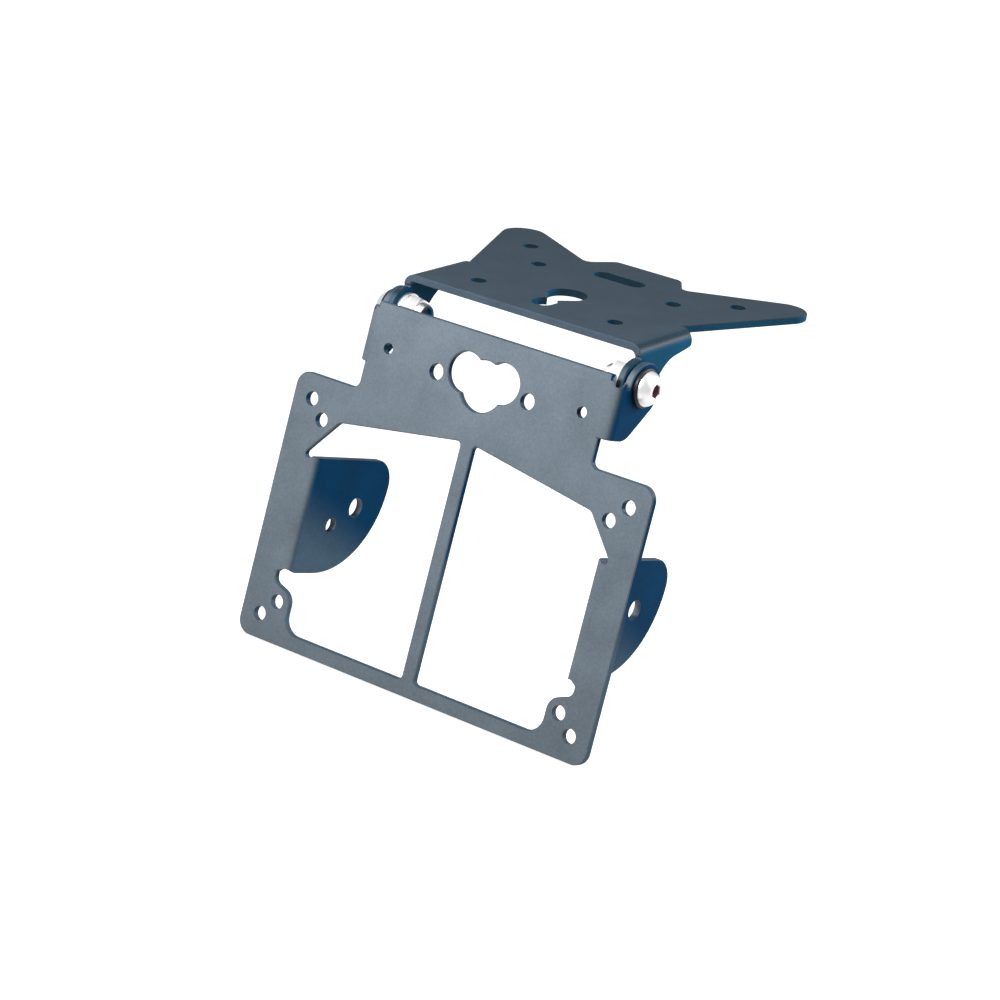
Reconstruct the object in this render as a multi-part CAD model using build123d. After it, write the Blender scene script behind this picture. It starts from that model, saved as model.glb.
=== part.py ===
from build123d import *
import math
import os

os.makedirs("parts", exist_ok=True)

# Sizes are in millimetres. X runs across the bike, Y forward to the bike and Z up.
# The origin is the centre of the four mounting holes, on the top face of the mounting bracket.

# Sheet, folds and fits
SHEET = 3.0
FOLD_INSIDE = 2.0
FOLD_OUTSIDE = FOLD_INSIDE + SHEET
EDGE_BREAK = 0.4
FOLD_TRIM = 2.0
SIDE_GAP = 0.2
RUNNING_GAP = 0.05
BOLT_GAP = 0.2
THREAD_GAP = 0.04

# Pivot through the ears, seen from the side
PIVOT_Y = -38.0
PIVOT_Z = -15.6
EAR_OUTSIDE = 57.3
EAR_INSIDE = EAR_OUTSIDE - SHEET
FLANGE_INSIDE = EAR_OUTSIDE + SIDE_GAP
FLANGE_OUTSIDE = FLANGE_INSIDE + SHEET

# Button-head screw, washers and lock nut
SHANK_R = 4.0
SCREW_LENGTH = 17.0
SCREW_TIP = 0.8
HEAD_R = 7.0
HEAD_HEIGHT = 4.4
HEAD_RIM = 0.7
HEAD_FLAT_R = 4.0
HEAD_BULGE = 0.42
SOCKET_FLATS = 5.0
SOCKET_DEPTH = 2.6
OUTER_WASHER_R = 7.8
INNER_WASHER_R = 8.0
WASHER_THICK = 1.6
NUT_FLATS = 13.0
NUT_HEX_HEIGHT = 5.8
NUT_HEIGHT = 8.6
COLLAR_R = 5.5
COLLAR_BREAK = 0.4
INSERT_R = 5.0
INSERT_THICK = 1.8
INSERT_SETBACK = 0.2

# Top plate of the mounting bracket
MOUNT_X = 33.0
MOUNT_Y = 20.5
WING_HOLE_X = 51.2
WING_HOLE_Y = 40.0
MOUNT_HOLE_R = 3.25
TOP_FRONT_Y = -37.5
LUG_Y = 52.9
LUG_HALF = 16.0
LUG_ROUND = 4.0
SADDLE_X = 23.8
SADDLE_Y = 41.4
SADDLE_ROUND = 3.5
WING_TIP_X = 64.2
WING_TIP_Y = 53.6
WING_TIP_R = 9.8
FOLD_END_Y = -1.4
FOLD_NOTCH_R = 0.8

# Slot and keyhole in the top plate
SLOT_LENGTH = 24.0
SLOT_WIDTH = 8.5
SLOT_Y = 31.0
KEYHOLE_Y = -5.6
KEYHOLE_R = 8.1
KEYHOLE_APEX_Y = -19.3
KEYHOLE_LOBE_R = 4.4
KEYHOLE_LOBE_NEAR_Y = -19.6
KEYHOLE_LOBE_FAR_Y = -22.9

# Ears of the mounting bracket, measured from the pivot in Y and Z
EAR_LOBE_R = 10.4
EAR_WAIST_Y = 20.8
EAR_WAIST_Z = 6.1
EAR_WAIST_ROUND = 15.0
EAR_BACK_Z = 8.7
EAR_BACK_ROUND = 1.8

# Plate bracket: V runs up the plate from the middle of its corner holes, D back from its front face
PLATE_TILT = 14.0
PIVOT_D = 16.5
PIVOT_V = 87.8
PLATE_HALF_WIDTH = 86.5
PLATE_HALF_HEIGHT = 55.0
PLATE_CORNER = 6.0
NECK_LEDGE = 0.9
SHOULDER_ROUND = 3.0
CORNER_HOLE_X = 77.0
CORNER_HOLE_V = 45.0
CORNER_STEP = 7.0
CORNER_HOLE_R = 3.0
SMALL_NECK_X = 46.75
SMALL_NECK_V = 73.7
SMALL_NECK_R = 2.25
LAMP_HOLE_X = 22.0
LAMP_HOLE_V = 71.0
LAMP_HOLE_R = 3.3
LAMP_R = 10.2
LAMP_SIDE_X = 8.8
LAMP_SIDE_V = 74.4
LAMP_SIDE_R = 8.1
LAMP_WALL = 8.5
NECK_TOP = LAMP_SIDE_V + LAMP_SIDE_R + LAMP_WALL

# Windows of the plate bracket
BAR_HALF = 3.0
WINDOW_BOTTOM = -48.75
WINDOW_TOP = 48.2
WINDOW_TOP_X = 61.3
WINDOW_TOP_V = 39.2
WINDOW_BAR_ROUND = 1.8
WINDOW_TOP_ROUND = 3.0
CORNER_PAD_R = 6.0
WINDOW_LOW_ROUND = 7.0
PAD_SLOPE = 20.0

# Side tabs folded back out of the windows
TAB_OUTSIDE = 71.0
TAB_INSIDE = TAB_OUTSIDE - SHEET
TAB_FOLD_X = TAB_INSIDE + FOLD_OUTSIDE
TAB_TOP = 22.9
TAB_BOTTOM = -25.6
TAB_REACH = 54.7
TAB_TOP_ROUND = 11.0
TAB_END_FLAT = 0.2
TAB_HOLE_D = 35.0
TAB_HOLE_V = 2.45
TAB_HOLE_R = 4.25
TAB_SMALL_D = 21.0
TAB_SMALL_V = -5.2
TAB_SMALL_R = 3.25
RELIEF_TOP_R = 1.7
RELIEF_TOP_V = 23.5
RELIEF_LOW_R = 3.3
RELIEF_LOW_V = -27.7
RELIEF_DEPTH = 0.85

# Flanges of the plate bracket
FLANGE_BOTTOM = 66.2
FLANGE_LOBE_D = 17.9
FLANGE_LOBE_V = 86.5
FLANGE_LOBE_R = 10.9
FLANGE_LOW_ROUND = 8.0
FLANGE_NOTCH_R = 2.3
FLANGE_NOTCH_V = 88.7


def rounded_face(corners):
    """Flat face through (x, y, radius) corners, each rounded to its own radius."""
    count = len(corners)
    arcs = []
    for index, (x, y, radius) in enumerate(corners):
        here = Vector(x, y)
        back = (Vector(*corners[index - 1][:2]) - here).normalized()
        ahead = (Vector(*corners[(index + 1) % count][:2]) - here).normalized()
        half = math.acos(max(-1.0, min(1.0, back.dot(ahead)))) / 2
        reach = radius / math.tan(half)
        middle = here + (back + ahead).normalized() * (radius / math.sin(half) - radius)
        arcs.append((here + back * reach, middle, here + ahead * reach, radius))
    edges = []
    for index, (start, middle, end, radius) in enumerate(arcs):
        if radius > 0:
            edges.append(ThreePointArc(start, middle, end))
        following = arcs[(index + 1) % count][0]
        if (following - end).length > 0.001:
            edges.append(Line(end, following))
    return make_face(edges)


def tangent_point(start, centre, radius, side):
    """Point where a line from start touches a circle, on its left (1) or right (-1)."""
    gap_x = start[0] - centre[0]
    gap_y = start[1] - centre[1]
    distance = math.hypot(gap_x, gap_y)
    angle = math.atan2(gap_y, gap_x) + side * math.acos(radius / distance)
    return centre[0] + radius * math.cos(angle), centre[1] + radius * math.sin(angle)


def crossing(first, first_next, second, second_next):
    """Point where the line through two points crosses the line through two others."""
    ax = first_next[0] - first[0]
    ay = first_next[1] - first[1]
    bx = second_next[0] - second[0]
    by = second_next[1] - second[1]
    share = ((second[0] - first[0]) * by - (second[1] - first[1]) * bx) / (ax * by - ay * bx)
    return first[0] + ax * share, first[1] + ay * share


def fold_section(centre_x, centre_y, side_x, side_y):
    """Quarter ring of a sheet fold round a centre, in the quadrant that the sides name."""
    quarter = Pos(side_x * FOLD_OUTSIDE / 2, side_y * FOLD_OUTSIDE / 2) * Rectangle(FOLD_OUTSIDE, FOLD_OUTSIDE)
    ring = Circle(FOLD_OUTSIDE) - Circle(FOLD_INSIDE)
    return Pos(centre_x, centre_y) * (ring & quarter)


def both_sides(body):
    """Body together with its mirror image on the other side."""
    return body + mirror(body, Plane.YZ)


def soft_panel(face):
    """Sheet panel from Z = 0 up, with the rims of both its faces broken."""
    body = extrude(face, SHEET, dir=(0, 0, 1))
    rims = [edge for edge in body.edges() if abs(edge.tangent_at(0.5).Z) < 0.001]
    return chamfer(rims, EDGE_BREAK)


def soft_fold(centre_x, centre_y, side_x, side_y, start, end):
    """Fold of the sheet along Z, between two heights, with the rims of its ends broken."""
    section = fold_section(centre_x, centre_y, side_x, side_y)
    body = Pos(0, 0, start) * extrude(section, end - start, dir=(0, 0, 1))
    rims = [edge for edge in body.edges() if edge.geom_type == GeomType.CIRCLE]
    return chamfer(rims, EDGE_BREAK)


def block(x_range, y_range, z_range):
    """Box between the limits given along each axis."""
    size = [limits[1] - limits[0] for limits in (x_range, y_range, z_range)]
    middle = [(limits[0] + limits[1]) / 2 for limits in (x_range, y_range, z_range)]
    return Pos(*middle) * Box(*size)


# Mounting bracket: top plate
tip = (WING_TIP_X, WING_TIP_Y)
fold_x = EAR_OUTSIDE - FOLD_OUTSIDE
fold_corner = (fold_x, FOLD_END_Y)
saddle = (SADDLE_X, SADDLE_Y)
front_touch = tangent_point(fold_corner, tip, WING_TIP_R, 1)
rear_touch = tangent_point(saddle, tip, WING_TIP_R, -1)
apex = crossing(fold_corner, front_touch, saddle, rear_touch)
right_edge = [
    (fold_x + FOLD_TRIM, TOP_FRONT_Y, 0.0),
    (fold_x + FOLD_TRIM, FOLD_END_Y, 0.0),
    (fold_corner[0], fold_corner[1], 0.0),
    (apex[0], apex[1], WING_TIP_R),
    (SADDLE_X, SADDLE_Y, SADDLE_ROUND),
    (LUG_HALF, LUG_Y, LUG_ROUND),
]
left_edge = [(-x, y, radius) for x, y, radius in reversed(right_edge)]
top_plate = Pos(0, 0, -SHEET) * soft_panel(rounded_face(right_edge + left_edge))
fold_span = (TOP_FRONT_Y - SHEET, FOLD_END_Y)
top_plate -= both_sides(block((fold_x, fold_x + 2 * FOLD_TRIM), fold_span, (-2 * SHEET, SHEET)))

# Mounting bracket: ears folded down at both sides
ear_tangent = EAR_LOBE_R / math.sqrt(2)
ear_diagonal = [(ear_tangent, -ear_tangent), (ear_tangent + 1, 1 - ear_tangent)]
ear_front = TOP_FRONT_Y - PIVOT_Y
ear_back = FOLD_END_Y - PIVOT_Y
ear_top = -PIVOT_Z - FOLD_OUTSIDE
ear_waist = crossing(*ear_diagonal, (EAR_WAIST_Y, EAR_WAIST_Z), (ear_back, EAR_BACK_Z))
ear_face = rounded_face([
    (ear_front, ear_top + FOLD_TRIM, 0.0),
    (ear_front, 0.0, 0.0),
    (ear_tangent / 2, -ear_tangent, 0.0),
    (ear_tangent, -ear_tangent, 0.0),
    (ear_waist[0], ear_waist[1], EAR_WAIST_ROUND),
    (ear_back, EAR_BACK_Z, EAR_BACK_ROUND),
    (ear_back, ear_top + FOLD_TRIM, 0.0),
]) + Circle(EAR_LOBE_R)
ear_panel = Pos(EAR_INSIDE, PIVOT_Y, PIVOT_Z) * Plane.YZ.location * soft_panel(ear_face)
ear_span = (TOP_FRONT_Y - SHEET, FOLD_END_Y + SHEET)
ear_panel -= block((EAR_INSIDE - SHEET, EAR_OUTSIDE + SHEET), ear_span, (-FOLD_OUTSIDE, 0))
ear_fold = Rot(90, 0, 0) * soft_fold(fold_x, -FOLD_OUTSIDE, 1, 1, -FOLD_END_Y, -TOP_FRONT_Y)
mounting_bracket = top_plate + both_sides(ear_panel + ear_fold)

# Mounting bracket: cut-outs
notch = Pos(EAR_OUTSIDE, TOP_FRONT_Y, -FOLD_OUTSIDE) * Rot(0, 90, 0)
fold_notch = notch * Cylinder(FOLD_NOTCH_R, 2 * FOLD_OUTSIDE)
pivot_bore = Pos(EAR_OUTSIDE, PIVOT_Y, PIVOT_Z) * Rot(0, 90, 0) * Cylinder(SHANK_R + BOLT_GAP, 4 * SHEET)
mounting_bracket -= both_sides(fold_notch) + both_sides(pivot_bore)
drill = Cylinder(MOUNT_HOLE_R, 4 * SHEET)
for hole_x, hole_y in ((MOUNT_X, MOUNT_Y), (MOUNT_X, -MOUNT_Y), (WING_HOLE_X, WING_HOLE_Y)):
    mounting_bracket -= both_sides(Pos(hole_x, hole_y, 0) * drill)
slot = Pos(0, SLOT_Y) * SlotOverall(SLOT_LENGTH, SLOT_WIDTH)
keyhole_touch = tangent_point((0.0, KEYHOLE_APEX_Y), (0.0, KEYHOLE_Y), KEYHOLE_R, 1)
keyhole_spout = rounded_face([
    (0.0, KEYHOLE_APEX_Y, 0.0),
    (abs(keyhole_touch[0]), keyhole_touch[1], 0.0),
    (-abs(keyhole_touch[0]), keyhole_touch[1], 0.0),
])
lobe_length = KEYHOLE_LOBE_NEAR_Y - KEYHOLE_LOBE_FAR_Y
lobe_middle = (KEYHOLE_LOBE_NEAR_Y + KEYHOLE_LOBE_FAR_Y) / 2
keyhole_lobe = Pos(0, lobe_middle) * Rectangle(2 * KEYHOLE_LOBE_R, lobe_length)
keyhole_lobe += Pos(0, KEYHOLE_LOBE_NEAR_Y) * Circle(KEYHOLE_LOBE_R)
keyhole_lobe += Pos(0, KEYHOLE_LOBE_FAR_Y) * Circle(KEYHOLE_LOBE_R)
keyhole = Pos(0, KEYHOLE_Y) * Circle(KEYHOLE_R) + keyhole_spout + keyhole_lobe
for opening in (slot, keyhole):
    mounting_bracket -= Pos(0, 0, -2 * SHEET) * extrude(opening, 4 * SHEET, dir=(0, 0, 1))

# Plate bracket: flat front with its neck, in its own upright position
flange_fold_x = FLANGE_OUTSIDE - FOLD_OUTSIDE
neck_half = flange_fold_x + NECK_LEDGE
half_outline = [
    (PLATE_HALF_WIDTH, -PLATE_HALF_HEIGHT, PLATE_CORNER),
    (PLATE_HALF_WIDTH, PLATE_HALF_HEIGHT, PLATE_CORNER),
    (neck_half, PLATE_HALF_HEIGHT, SHOULDER_ROUND),
    (neck_half, FLANGE_BOTTOM, 0.0),
    (flange_fold_x + FOLD_TRIM, FLANGE_BOTTOM, 0.0),
    (flange_fold_x + FOLD_TRIM, NECK_TOP, 0.0),
]
mirrored_outline = [(-x, v, radius) for x, v, radius in reversed(half_outline)]
front_face = rounded_face(half_outline + mirrored_outline)

# Plate bracket: windows, each with a pad left round its lower corner hole
pad = (CORNER_HOLE_X - CORNER_STEP, -CORNER_HOLE_V + CORNER_STEP)
slope = math.radians(PAD_SLOPE)
pad_touch = (pad[0] - CORNER_PAD_R * math.sin(slope), pad[1] + CORNER_PAD_R * math.cos(slope))
relief_x = TAB_FOLD_X + RELIEF_DEPTH
slope_rise = (relief_x - pad_touch[0]) * math.tan(slope)
pad_left = pad[0] - CORNER_PAD_R
slope_fall = (pad_touch[0] - pad_left) * math.tan(slope)
window_face = rounded_face([
    (BAR_HALF, WINDOW_BOTTOM, WINDOW_BAR_ROUND),
    (BAR_HALF, WINDOW_TOP, WINDOW_BAR_ROUND),
    (WINDOW_TOP_X, WINDOW_TOP_V, WINDOW_TOP_ROUND),
    (TAB_FOLD_X, RELIEF_TOP_V + RELIEF_TOP_R, 0.0),
    (TAB_FOLD_X, RELIEF_LOW_V + RELIEF_LOW_R / 2, 0.0),
    (relief_x, RELIEF_LOW_V + RELIEF_LOW_R / 2, 0.0),
    (relief_x, pad_touch[1] + slope_rise, RELIEF_LOW_R),
    (pad_left, pad_touch[1] - slope_fall, CORNER_PAD_R),
    (pad_left, WINDOW_BOTTOM, WINDOW_LOW_ROUND),
])
tongue_width = 2 * FOLD_TRIM
tongue_place = Pos(TAB_FOLD_X, (TAB_TOP + TAB_BOTTOM) / 2)
window_face -= tongue_place * Rectangle(tongue_width, TAB_TOP - TAB_BOTTOM)
window_face += Pos(TAB_FOLD_X + RELIEF_DEPTH - RELIEF_TOP_R, RELIEF_TOP_V) * Circle(RELIEF_TOP_R)
window_face += Pos(relief_x - RELIEF_LOW_R, RELIEF_LOW_V) * Circle(RELIEF_LOW_R)
front_face -= window_face + mirror(window_face, Plane.YZ)

# Plate bracket: opening for a lamp and its cable
lamp_face = Pos(0, LAMP_HOLE_V) * Circle(LAMP_R)
lamp_face += Pos(LAMP_SIDE_X, LAMP_SIDE_V) * Circle(LAMP_SIDE_R)
lamp_face += Pos(-LAMP_SIDE_X, LAMP_SIDE_V) * Circle(LAMP_SIDE_R)
front_face -= lamp_face
front = Pos(0, SHEET, 0) * Plane.XZ.location * soft_panel(front_face)
tongue_x = (TAB_FOLD_X - tongue_width, TAB_FOLD_X)
front -= both_sides(block(tongue_x, (-SHEET, 2 * SHEET), (TAB_BOTTOM - 1, TAB_TOP + 1)))
trim_x = (flange_fold_x, flange_fold_x + 2 * FOLD_TRIM)
front -= both_sides(block(trim_x, (-SHEET, 2 * SHEET), (FLANGE_BOTTOM, NECK_TOP + 1)))

# Plate bracket: side tabs, folded back at the windows' outer sides
near_d = FOLD_OUTSIDE - FOLD_TRIM
tab_low_round = TAB_TOP - TAB_BOTTOM - TAB_TOP_ROUND - TAB_END_FLAT
tab_face = rounded_face([
    (near_d, TAB_BOTTOM, 0.0),
    (TAB_REACH, TAB_BOTTOM, tab_low_round),
    (TAB_REACH, TAB_TOP, TAB_TOP_ROUND),
    (near_d, TAB_TOP, 0.0),
])
tab_flat = Pos(TAB_INSIDE, 0, 0) * Plane.YZ.location * soft_panel(tab_face)
tab_flat -= block((TAB_INSIDE - 1, TAB_OUTSIDE + 1), (0, FOLD_OUTSIDE), (TAB_BOTTOM - 1, TAB_TOP + 1))
tab_fold = soft_fold(TAB_FOLD_X, FOLD_OUTSIDE, -1, -1, TAB_BOTTOM, TAB_TOP)
tab = tab_flat + tab_fold

# Plate bracket: flanges with the pivot lobes
lobe_diagonal = FLANGE_LOBE_R / math.sqrt(2)
lobe_touch = (FLANGE_LOBE_D + lobe_diagonal, FLANGE_LOBE_V - lobe_diagonal)
flange_low_d = lobe_touch[0] - (lobe_touch[1] - FLANGE_BOTTOM)
flange_face = rounded_face([
    (near_d, FLANGE_BOTTOM, 0.0),
    (flange_low_d, FLANGE_BOTTOM, FLANGE_LOW_ROUND),
    (lobe_touch[0], lobe_touch[1], 0.0),
    (FLANGE_LOBE_D, FLANGE_LOBE_V, 0.0),
    (near_d, FLANGE_LOBE_V, 0.0),
]) + Pos(FLANGE_LOBE_D, FLANGE_LOBE_V) * Circle(FLANGE_LOBE_R)
flange_flat = Pos(FLANGE_INSIDE, 0, 0) * Plane.YZ.location * soft_panel(flange_face)
flange_x = (FLANGE_INSIDE - 1, FLANGE_OUTSIDE + 1)
flange_flat -= block(flange_x, (0, FOLD_OUTSIDE), (FLANGE_BOTTOM - 1, FLANGE_LOBE_V + 1))
flange_fold = soft_fold(flange_fold_x, FOLD_OUTSIDE, 1, -1, FLANGE_BOTTOM, FLANGE_NOTCH_V)
flange = flange_flat + flange_fold

# Plate bracket: joined, relieved at the ends of the folds and drilled
plate_bracket = front + both_sides(tab) + both_sides(flange)
along_depth = Rot(90, 0, 0)
for relief_r, relief_v in ((RELIEF_TOP_R, RELIEF_TOP_V), (RELIEF_LOW_R, RELIEF_LOW_V)):
    relief_place = Pos(relief_x - relief_r, FOLD_OUTSIDE / 2, relief_v) * along_depth
    plate_bracket -= both_sides(relief_place * Cylinder(relief_r, FOLD_OUTSIDE))
notch_x = FLANGE_OUTSIDE - FOLD_OUTSIDE / 2
notch_place = Pos(notch_x, FOLD_OUTSIDE / 2, FLANGE_NOTCH_V) * Rot(0, 0, 45) * along_depth
plate_bracket -= both_sides(notch_place * Cylinder(FLANGE_NOTCH_R, 3 * SHEET))
front_holes = [
    (SMALL_NECK_X, SMALL_NECK_V, SMALL_NECK_R),
    (LAMP_HOLE_X, LAMP_HOLE_V, LAMP_HOLE_R),
]
for side in (1, -1):
    front_holes.append((CORNER_HOLE_X, side * CORNER_HOLE_V, CORNER_HOLE_R))
    front_holes.append((CORNER_HOLE_X - CORNER_STEP, side * (CORNER_HOLE_V - CORNER_STEP), CORNER_HOLE_R))
for hole_x, hole_v, hole_r in front_holes:
    plate_bracket -= both_sides(Pos(hole_x, 0, hole_v) * along_depth * Cylinder(hole_r, 4 * SHEET))
along_width = Rot(0, 90, 0)
for hole_d, hole_v, hole_r, hole_x in (
    (TAB_HOLE_D, TAB_HOLE_V, TAB_HOLE_R, TAB_OUTSIDE),
    (TAB_SMALL_D, TAB_SMALL_V, TAB_SMALL_R, TAB_OUTSIDE),
    (PIVOT_D, PIVOT_V, SHANK_R + RUNNING_GAP, FLANGE_OUTSIDE),
):
    plate_bracket -= both_sides(Pos(hole_x, hole_d, hole_v) * along_width * Cylinder(hole_r, 4 * SHEET))
onto_pivot = Pos(0, PIVOT_Y, PIVOT_Z) * Rot(-PLATE_TILT, 0, 0) * Pos(0, -PIVOT_D, -PIVOT_V)
plate_bracket = onto_pivot * plate_bracket


# Pivot hardware of one side, drawn along Z with the head's underside at Z = 0 and the shank below it
def pivot_screw():
    """Button-head screw with a hexagon socket."""
    bulge_r = (HEAD_R + HEAD_FLAT_R) / 2
    bulge_z = (HEAD_RIM + HEAD_HEIGHT) / 2
    run = math.hypot(HEAD_R - HEAD_FLAT_R, HEAD_HEIGHT - HEAD_RIM)
    bulge_r += HEAD_BULGE * (HEAD_HEIGHT - HEAD_RIM) / run
    bulge_z += HEAD_BULGE * (HEAD_R - HEAD_FLAT_R) / run
    profile = make_face([
        Line((0, 0, -SCREW_LENGTH), (SHANK_R - SCREW_TIP, 0, -SCREW_LENGTH)),
        Line((SHANK_R - SCREW_TIP, 0, -SCREW_LENGTH), (SHANK_R, 0, SCREW_TIP - SCREW_LENGTH)),
        Line((SHANK_R, 0, SCREW_TIP - SCREW_LENGTH), (SHANK_R, 0, 0)),
        Line((SHANK_R, 0, 0), (HEAD_R - HEAD_RIM / 3, 0, 0)),
        Line((HEAD_R - HEAD_RIM / 3, 0, 0), (HEAD_R, 0, HEAD_RIM / 3)),
        Line((HEAD_R, 0, HEAD_RIM / 3), (HEAD_R, 0, HEAD_RIM)),
        Line((HEAD_R, 0, HEAD_RIM), (bulge_r, 0, bulge_z)),
        Line((bulge_r, 0, bulge_z), (HEAD_FLAT_R, 0, HEAD_HEIGHT)),
        Line((HEAD_FLAT_R, 0, HEAD_HEIGHT), (0, 0, HEAD_HEIGHT)),
        Line((0, 0, HEAD_HEIGHT), (0, 0, -SCREW_LENGTH)),
    ])
    body = revolve(profile, Axis.Z, 360)
    socket = extrude(RegularPolygon(SOCKET_FLATS / 2, 6, major_radius=False), SOCKET_DEPTH, dir=(0, 0, 1))
    return body - Pos(0, 0, HEAD_HEIGHT - SOCKET_DEPTH) * socket


def washer(radius):
    """Flat washer standing on Z = 0."""
    ring = Circle(radius) - Circle(SHANK_R + BOLT_GAP)
    return extrude(ring, WASHER_THICK, dir=(0, 0, 1))


def lock_nut():
    """High lock nut from Z = 0 up, with a collar round its plastic insert."""
    hexagon = extrude(RegularPolygon(NUT_FLATS / 2, 6, major_radius=False), NUT_HEX_HEIGHT, dir=(0, 0, 1))
    collar = extrude(Circle(COLLAR_R), NUT_HEIGHT, dir=(0, 0, 1))
    collar = chamfer(collar.edges().sort_by(Axis.Z)[-1], COLLAR_BREAK)
    body = hexagon + collar
    recess = extrude(Circle(INSERT_R + THREAD_GAP), NUT_HEIGHT, dir=(0, 0, 1))
    body -= Pos(0, 0, NUT_HEIGHT - INSERT_SETBACK - INSERT_THICK) * recess
    return body - extrude(Circle(SHANK_R + THREAD_GAP), NUT_HEIGHT, dir=(0, 0, 1))


def nut_insert():
    """Plastic ring in the nut's collar."""
    ring = Circle(INSERT_R) - Circle(SHANK_R + THREAD_GAP)
    return Pos(0, 0, NUT_HEIGHT - INSERT_SETBACK - INSERT_THICK) * extrude(ring, INSERT_THICK, dir=(0, 0, 1))


outwards = Rot(0, 90, 0)
inwards = Rot(0, -90, 0)
right_side = {
    "pivot_screw": Pos(FLANGE_OUTSIDE + WASHER_THICK, PIVOT_Y, PIVOT_Z) * outwards * pivot_screw(),
    "outer_washer": Pos(FLANGE_OUTSIDE, PIVOT_Y, PIVOT_Z) * outwards * washer(OUTER_WASHER_R),
    "inner_washer": Pos(EAR_INSIDE, PIVOT_Y, PIVOT_Z) * inwards * washer(INNER_WASHER_R),
    "lock_nut": Pos(EAR_INSIDE - WASHER_THICK, PIVOT_Y, PIVOT_Z) * inwards * lock_nut(),
    "nut_insert": Pos(EAR_INSIDE - WASHER_THICK, PIVOT_Y, PIVOT_Z) * inwards * nut_insert(),
}

pieces = {"mounting_bracket": mounting_bracket, "plate_bracket": plate_bracket}
for name, piece in right_side.items():
    pieces["right_" + name] = piece
    pieces["left_" + name] = mirror(piece, Plane.YZ)
for name, piece in pieces.items():
    export_step(piece, "parts/" + name + ".step")
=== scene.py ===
"""Looks of a motorbike tail tidy: folded, powder-coated brackets on stainless pivot screws.

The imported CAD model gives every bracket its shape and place. This script dresses the brackets,
makes the pivot screws, washers and lock nuts in detail, and sets up the studio and the camera.
"""

import logging
import math
from dataclasses import dataclass, field
from enum import Enum

import bmesh
import bpy
from mathutils import Matrix, Vector

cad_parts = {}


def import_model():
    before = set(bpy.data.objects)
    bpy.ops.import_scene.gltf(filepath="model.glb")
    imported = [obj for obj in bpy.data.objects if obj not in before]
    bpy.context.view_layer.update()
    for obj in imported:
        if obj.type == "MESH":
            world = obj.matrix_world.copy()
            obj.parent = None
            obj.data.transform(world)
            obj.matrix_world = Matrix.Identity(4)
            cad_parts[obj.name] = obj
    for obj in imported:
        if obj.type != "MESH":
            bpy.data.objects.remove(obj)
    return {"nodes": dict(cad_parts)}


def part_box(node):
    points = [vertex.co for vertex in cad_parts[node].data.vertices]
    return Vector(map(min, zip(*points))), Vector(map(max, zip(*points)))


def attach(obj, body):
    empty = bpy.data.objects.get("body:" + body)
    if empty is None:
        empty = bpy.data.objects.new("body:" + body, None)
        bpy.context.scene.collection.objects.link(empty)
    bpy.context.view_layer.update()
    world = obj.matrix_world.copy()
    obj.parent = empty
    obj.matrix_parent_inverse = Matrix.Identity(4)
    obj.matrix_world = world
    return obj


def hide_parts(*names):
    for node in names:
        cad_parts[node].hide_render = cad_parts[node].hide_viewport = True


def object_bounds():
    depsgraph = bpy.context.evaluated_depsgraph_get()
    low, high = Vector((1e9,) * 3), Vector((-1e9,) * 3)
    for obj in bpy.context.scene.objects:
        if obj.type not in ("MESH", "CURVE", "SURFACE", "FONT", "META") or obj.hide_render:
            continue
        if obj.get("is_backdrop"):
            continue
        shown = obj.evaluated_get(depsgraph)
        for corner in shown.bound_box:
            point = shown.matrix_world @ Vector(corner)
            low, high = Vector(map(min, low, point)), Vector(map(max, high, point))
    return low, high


LOG = logging.getLogger("tail_tidy")
MM = 0.001
# Front edge of the front's painted reflection, in metres along Y, that every place on the object is ahead
# of
EVERYWHERE = 10.0
WHITE = (1.0, 1.0, 1.0)

Colour = tuple[float, float, float]
Point = tuple[float, float, float]
Nodes = dict[str, bpy.types.Object]
Socket = bpy.types.NodeSocket
Tree = bpy.types.NodeTree


class Side(Enum):
    """Side of the bike that a pivot is on, with the direction of its screw head along X."""

    LEFT = -1
    RIGHT = 1

    @property
    def label(self) -> str:
        """Name of the side as the CAD nodes spell it."""
        return self.name.lower()


class Shape(Enum):
    """Outline of a ring of a turned piece."""

    ROUND = "round"
    HEXAGON = "hexagon"


# Node helpers

# Places of a colour mix's sockets among all the kinds that the mix node has
FACTOR, FIRST, SECOND, RESULT = 0, 6, 7, 2


def add_node(tree: Tree, kind: str, x: float, y: float, **values: object) -> bpy.types.Node:
    """Adds a node to a tree.

    Args:
        tree: The material's or the group's node tree.
        kind: Blender's type name of the node.
        x: Place of the node in the editor, across.
        y: Place of the node in the editor, up.
        **values: Properties of the node to set.

    Returns:
        The new node.
    """
    node = tree.nodes.new(kind)
    node.location = (x, y)
    for name, value in values.items():
        setattr(node, name, value)
    return node


def rgba(colour: Colour) -> tuple[float, float, float, float]:
    """Colour with full alpha."""
    return (*colour, 1.0)


def add_math(
    tree: Tree, operation: str, x: float, y: float, first: Socket | float, second: Socket | float = 0.0
) -> Socket:
    """Adds a math node on two values.

    Args:
        tree: The tree to add it to.
        operation: Blender's name of the operation.
        x: Place across.
        y: Place up.
        first: A socket, or a number.
        second: A socket, or a number.

    Returns:
        The node's output socket.
    """
    node = add_node(tree, "ShaderNodeMath", x, y, operation=operation)
    for socket, value in zip(node.inputs, (first, second)):
        if isinstance(value, Socket):
            tree.links.new(value, socket)
        else:
            socket.default_value = value
    return node.outputs[0]


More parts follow.
